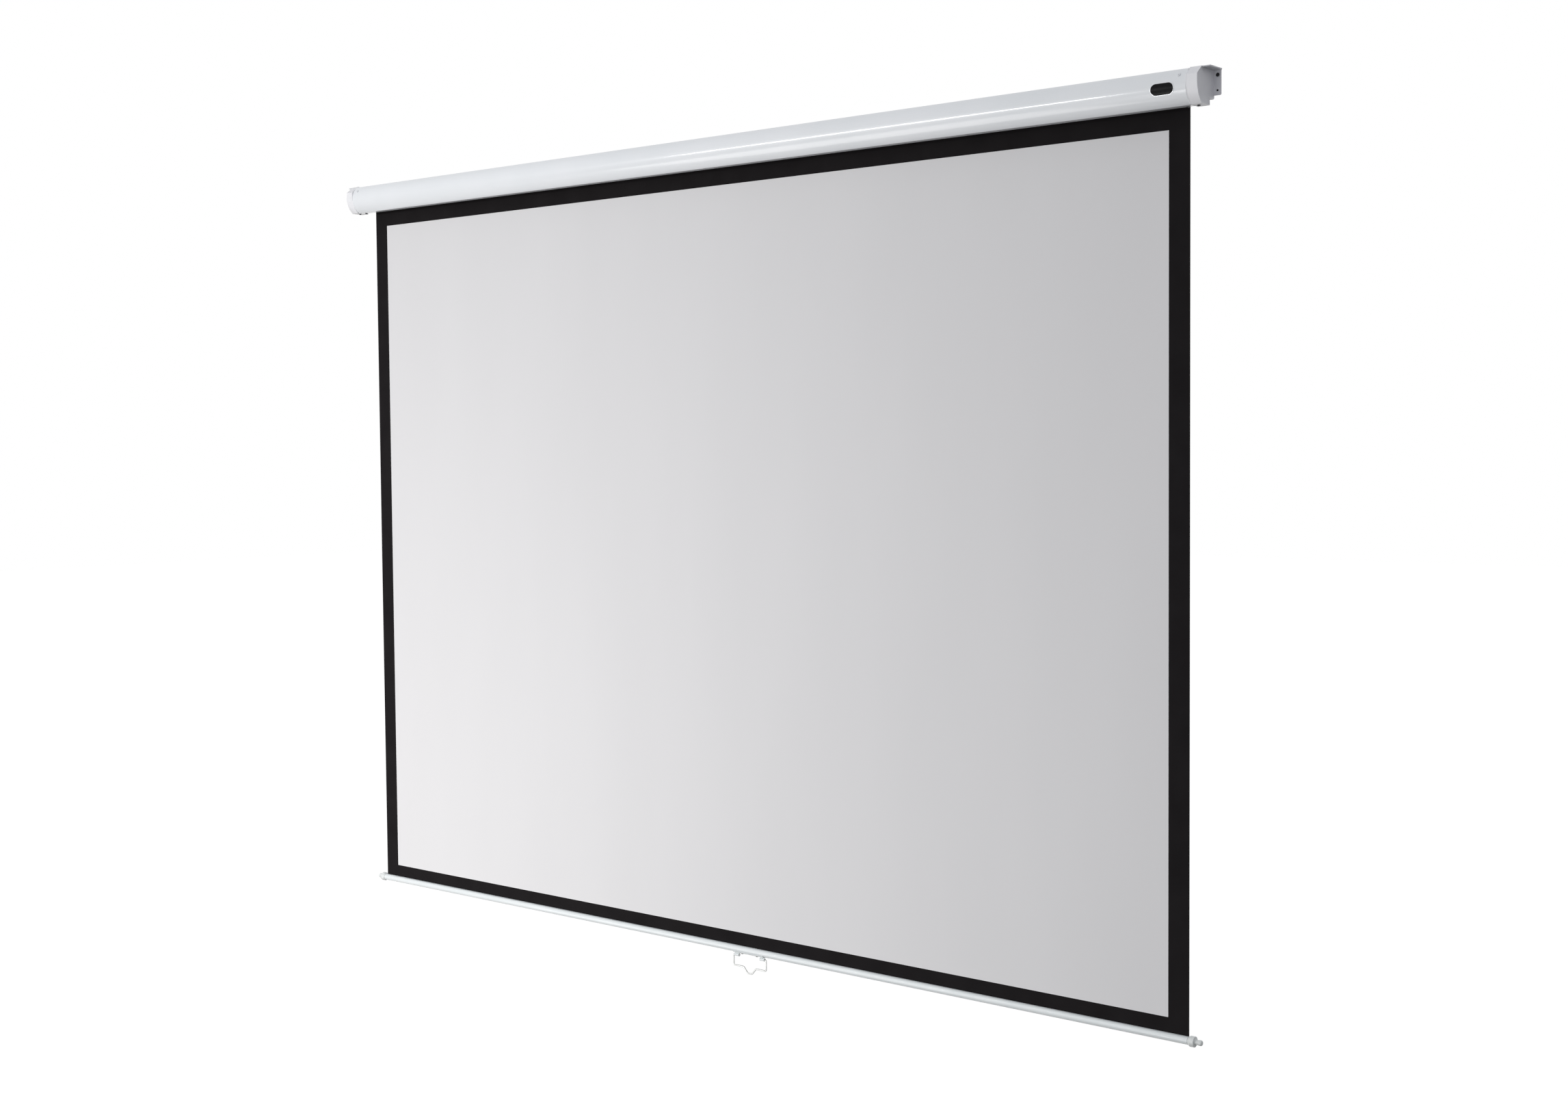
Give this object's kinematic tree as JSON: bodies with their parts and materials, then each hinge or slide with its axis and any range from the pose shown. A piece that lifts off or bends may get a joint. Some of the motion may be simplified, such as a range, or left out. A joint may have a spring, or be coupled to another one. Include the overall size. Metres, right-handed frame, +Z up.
{
  "type": "pull down projector screen",
  "caption": "Wall-hung spring roller projector screen: rounded white casing, black-bordered white cloth, slim bottom bar with end pins and a bent wire pull handle.",
  "frame": {"origin": "on the wall plane, midway between the end caps, at half the height of the caps; the wall fixing point", "axes": "+X along the casing towards its lock end, +Y into the wall, +Z up; the viewer stands at -Y"},
  "size_m": [2.521, 0.0716, 1.9085],
  "materials": {
    "casing_paint": "satin white powder coat",
    "badge": "dark gloss, bare",
    "cap_moulding": "smooth white moulding",
    "bracket_paint": "white paint on folded steel",
    "nylon": "natural nylon",
    "black_screw": "black zinc",
    "plated_steel": "zinc plated",
    "black_cloth": "matt black coating on woven glass cloth",
    "white_screen": "matt white viewing coat",
    "bar_paint": "white paint",
    "dark_rivet": "dull steel",
    "bright_wire": "plated wire"
  },
  "bodies": {
    "casing": {"casing_shell": "casing_paint", "badge_plate": "badge", "end_cap_left": "cap_moulding", "end_cap_right": "cap_moulding", "bracket_left": "bracket_paint", "bracket_right": "bracket_paint", "bearing_block_left": "nylon", "bearing_block_right": "nylon", "casing_screw_left": "casing_paint", "casing_screw_right": "casing_paint", "casing_floor_screw_left": "black_screw", "casing_floor_screw_right": "black_screw", "cap_floor_screw_left": "black_screw", "cap_floor_screw_right": "black_screw", "spindle": "plated_steel", "spindle_clip": "plated_steel", "spring_anchor": "plated_steel", "ratchet_collar": "plated_steel", "torsion_spring": "plated_steel", "screen_cloth": "black_cloth", "viewing_surface": "white_screen"},
    "roller": {"roller_tube": "plated_steel", "cloth_key_rod": "nylon", "cloth_wraps": "black_cloth", "lock_plug": "nylon", "idle_plug": "nylon", "spring_plug": "nylon", "idle_pin": "plated_steel", "pawl_pin_a": "plated_steel", "pawl_pin_b": "plated_steel"},
    "upper_pawl": {"pawl_a": "plated_steel"},
    "lower_pawl": {"pawl_b": "plated_steel"},
    "hanging_bar": {"bottom_bar": "bar_paint", "hem_rod": "nylon", "bar_end_left": "cap_moulding", "bar_end_right": "cap_moulding", "handle_saddle": "bar_paint", "saddle_rivet_left": "dark_rivet", "saddle_rivet_right": "dark_rivet"},
    "handle": {"pull_handle": "bright_wire"}
  },
  "joints": [
    {"name": "bar_lift", "type": "slide", "parent": "casing", "child": "hanging_bar", "axis": [0, 0, 1], "range_m": [0, 1.7905], "deforming": ["screen_cloth", "viewing_surface"]},
    {"name": "roller_spin", "type": "hinge", "parent": "casing", "child": "roller", "pos_m": [0, -0.0305, 0.003], "axis": [1, 0, 0], "range_deg": [0, 4320]},
    {"name": "handle_swing", "type": "hinge", "parent": "hanging_bar", "child": "handle", "pos_m": [0.0887, -0.0124, -1.83272], "axis": [1, 0, 0], "range_deg": [-90, 90]},
    {"name": "pawl_a_swing", "type": "hinge", "parent": "roller", "child": "upper_pawl", "pos_m": [1.2113, -0.0245, 0.0155], "axis": [1, 0, 0], "range_deg": [0, 25]},
    {"name": "pawl_b_swing", "type": "hinge", "parent": "roller", "child": "lower_pawl", "pos_m": [1.2113, -0.0365, -0.0095], "axis": [1, 0, 0], "range_deg": [0, 25]}
  ],
  "couplings": [
    {"joint": "roller_spin", "follows": "bar_lift", "rad_per_m": 42.11}
  ]
}
